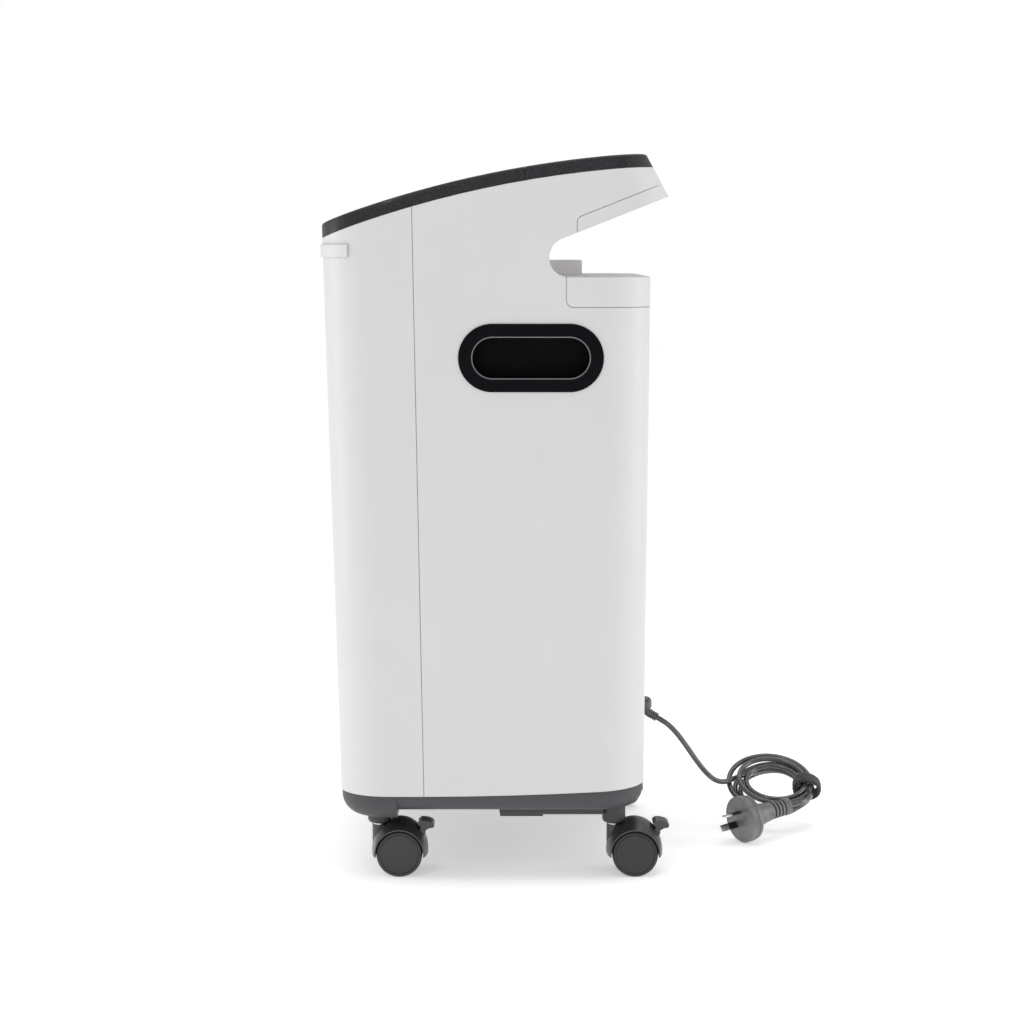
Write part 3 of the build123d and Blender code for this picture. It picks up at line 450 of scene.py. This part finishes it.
def make_tie():
    """The strap: a thick fuzzy ring, a little out of round, with its free end lapped over."""
    tangent = Vector((-math.sin(TIE_ANGLE), math.cos(TIE_ANGLE), 0))
    outward = Vector((math.cos(TIE_ANGLE), math.sin(TIE_ANGLE), 0))
    upward = Vector((0, 0, 1))
    tilt = Matrix.Rotation(COIL_TILT, 3, "Y")
    around, across, thick, width, lap = 90, 10, 2.1, 12.0, 1.3
    verts = []
    for i in range(around + 1):
        t = lap * i / around
        turn = 2 * math.pi * t + 2.4
        lift = 2.3 * min(1.0, max(0.0, (t - 0.85) / 0.18))
        radius = 9.4 + 0.5 * math.cos(2 * turn + 0.7) + 0.3 * math.cos(3 * turn) + lift
        for offset in (0.0, thick):
            for j in range(across + 1):
                side = j / across - 0.5
                crown = offset * 0.25 * (1 - (2 * side) ** 4) if offset else 0.0
                fuzz = 0.12 * math.sin(37 * turn + 9 * side) + 0.1 * math.sin(61 * turn - 17 * side)
                r = radius + offset + crown + (fuzz if offset else 0.0)
                w = side * width * (1 - 0.05 * math.cos(2 * turn)) + 0.7 * math.sin(turn)
                local = outward * (COIL_R - PULLED_IN + r * math.cos(turn)) + upward * (r * math.sin(turn))
                verts.append((COIL_CENTRE + tilt @ (local + tangent * w)) * MM)
    row = 2 * (across + 1)
    faces = []
    for i in range(around):
        a, b = i * row, (i + 1) * row
        for j in range(across):
            k = across + 1 + j
            faces.append((a + j, b + j, b + j + 1, a + j + 1))
            faces.append((a + k, a + k + 1, b + k + 1, b + k))
        faces.append((a, a + across + 1, b + across + 1, b))
        faces.append((a + across, b + across, b + 2 * across + 1, a + 2 * across + 1))
    for j in range(across):
        end = (j, j + 1, across + 2 + j, across + 1 + j)
        faces.append(end)
        faces.append(tuple(around * row + n for n in end[::-1]))
    tie = mesh_object("hook_and_loop_tie", verts, faces)
    finish_piece(tie, "tie_fabric", "root")
    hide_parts("cord_tie")
    return tie


CORD = make_cord()
TIE = make_tie()


# ---------------------------------------------------------------- marks on the controls
TOP_Y, TOP_Z, TOP_R = 175.1, -278.9, 904.5               # axis and radius of the curved top
KEY_X, KEY_Y, KEY_LIFT = 34.0, -27.7, -0.1
BAY_WALL_Y, TUBE_DEPTH = -113.24, 16.0
TUBE_X, TUBE_Z, TICK_STEP = -27.0, 458.0, 6.0


def mark(name, outlines, place, slot, body, thickness=0.15):
    """Thin raised marks from flat outlines in millimetres, each convex."""
    verts, faces = [], []
    for outline in outlines:
        first, n = len(verts), len(outline)
        verts += [place @ (Vector((x, y, z)) * MM) for z in (-0.05, thickness) for x, y in outline]
        faces.append(tuple(first + i for i in reversed(range(n))))
        faces.append(tuple(first + n + i for i in range(n)))
        faces += [(first + i, first + (i + 1) % n, first + n + (i + 1) % n, first + n + i) for i in range(n)]
    return finish_piece(mesh_object(name, verts, faces, smooth=False), slot, body)


def bar(x, y, width, height):
    w, h = width / 2, height / 2
    return [(x - w, y - h), (x + w, y - h), (x + w, y + h), (x - w, y + h)]


def ring(radius, width, count=28):
    """A ring as convex pieces."""
    pieces = []
    for i in range(count):
        a, b = (math.pi / 2 + 2 * math.pi * k / count for k in (i, i + 1))
        inner, outer = radius - width / 2, radius + width / 2
        corners = ((inner, a), (outer, a), (outer, b), (inner, b))
        pieces.append([(r * math.cos(angle), r * math.sin(angle)) for r, angle in corners])
    return pieces


def on_top(x, y, lift=0.0):
    """A place on the top panel, with its own X across and its Z out of the panel."""
    drop = y - TOP_Y
    height = math.sqrt(TOP_R ** 2 - drop ** 2)
    normal = Vector((0, drop / TOP_R, height / TOP_R))
    origin = Vector((x, y, TOP_Z + height)) + normal * lift
    across = Vector((1, 0, 0))
    turned = Matrix((across, normal.cross(across), normal)).transposed().to_4x4()
    return Matrix.Translation(origin * MM) @ turned


def make_marks():
    mark("mark_minus", [bar(0, 0, 6.4, 1.1)], on_top(-KEY_X, KEY_Y, KEY_LIFT), "clip_grey", "key_minus")
    mark("mark_plus", [bar(0, 0, 6.4, 1.1), bar(0, 2.0, 1.1, 2.65), bar(0, -2.0, 1.1, 2.65)],
         on_top(KEY_X, KEY_Y, KEY_LIFT), "clip_grey", "key_plus")
    mark("mark_timer", ring(3.0, 0.7) + [bar(0, 0.9, 0.6, 2.3), bar(0.8, 0, 1.6, 0.6)],
         on_top(0, KEY_Y, KEY_LIFT), "clip_grey", "key_timer")
    facing = Matrix(((1, 0, 0), (0, 0, -1), (0, 1, 0))).to_4x4()
    scale = Matrix.Translation(Vector((TUBE_X, BAY_WALL_Y - TUBE_DEPTH, TUBE_Z)) * MM) @ facing
    ticks = [bar(-8.2 if i % 2 else -7.4, -27 + i * TICK_STEP, 4.0 if i % 2 else 5.6, 0.5) for i in range(10)]
    mark("tube_scale", ticks, scale, "knob_black", "root", 0.12)


make_marks()


# ---------------------------------------------------------------- floor, light, camera
def make_floor():
    half = 14.0
    corners = [(-half, -half, 0), (half, -half, 0), (half, half, 0), (-half, half, 0)]
    floor = mesh_object("floor", corners, [(0, 1, 2, 3)])
    s = Shader("pale_floor", (0.93, 0.93, 0.93), 0.7, specular=0.1)
    s.shade(0.995, 1.005, 0.4)
    s.set("Emission Color", (1.0, 1.0, 1.0, 1.0))
    s.set("Emission Strength", 0.42)
    floor.data.materials.append(s.material)


def area_light(name, place, target, size, energy):
    lamp = bpy.data.lights.new(name, "AREA")
    lamp.shape = "RECTANGLE"
    lamp.size, lamp.size_y = size
    lamp.energy = energy
    obj = bpy.data.objects.new(name, lamp)
    obj.location = place
    obj.rotation_euler = (Vector(target) - Vector(place)).to_track_quat("-Z", "Y").to_euler()
    bpy.context.scene.collection.objects.link(obj)


def make_light():
    world = bpy.data.worlds.new("studio")
    bpy.context.scene.world = world
    world.use_nodes = True
    tree = world.node_tree
    background = tree.nodes["Background"]
    seen = tree.nodes.new("ShaderNodeLightPath").outputs["Is Camera Ray"]
    level = tree.nodes.new("ShaderNodeMapRange")
    level.inputs["To Min"].default_value = 0.62
    level.inputs["To Max"].default_value = 1.0
    tree.links.new(seen, level.inputs["Value"])
    tree.links.new(level.outputs["Result"], background.inputs["Strength"])
    background.inputs["Color"].default_value = (1.0, 1.0, 1.0, 1.0)
    middle = (0, 0, 0.3)
    area_light("front_strip", (0.05, -1.9, 0.5), middle, (0.8, 1.6), 9)
    area_light("rear_strip", (0.05, 1.9, 0.5), middle, (0.8, 1.6), 9)
    area_light("key", (2.3, -0.9, 2.1), middle, (0.5, 0.5), 6)
    area_light("top", (-0.2, 0, 2.4), (0, 0, 0), (2.2, 2.2), 16)


def make_camera():
    """A long lens level with the top of the machine, looking along -X and a little down."""
    lens, pitch = 88.9, math.radians(5.914)
    data = bpy.data.cameras.new("camera")
    data.sensor_width = 36.0
    data.lens = lens
    camera = bpy.data.objects.new("camera", data)
    camera.location = (2.3195, 0.0133, 0.5432)
    camera.rotation_euler = (math.pi / 2 - pitch, 0, math.pi / 2)
    bpy.context.scene.collection.objects.link(camera)
    bpy.context.scene.camera = camera
    bpy.context.scene.view_settings.view_transform = "Standard"


make_floor()
make_light()
make_camera()


def write_sizes():
    import json


write_sizes()
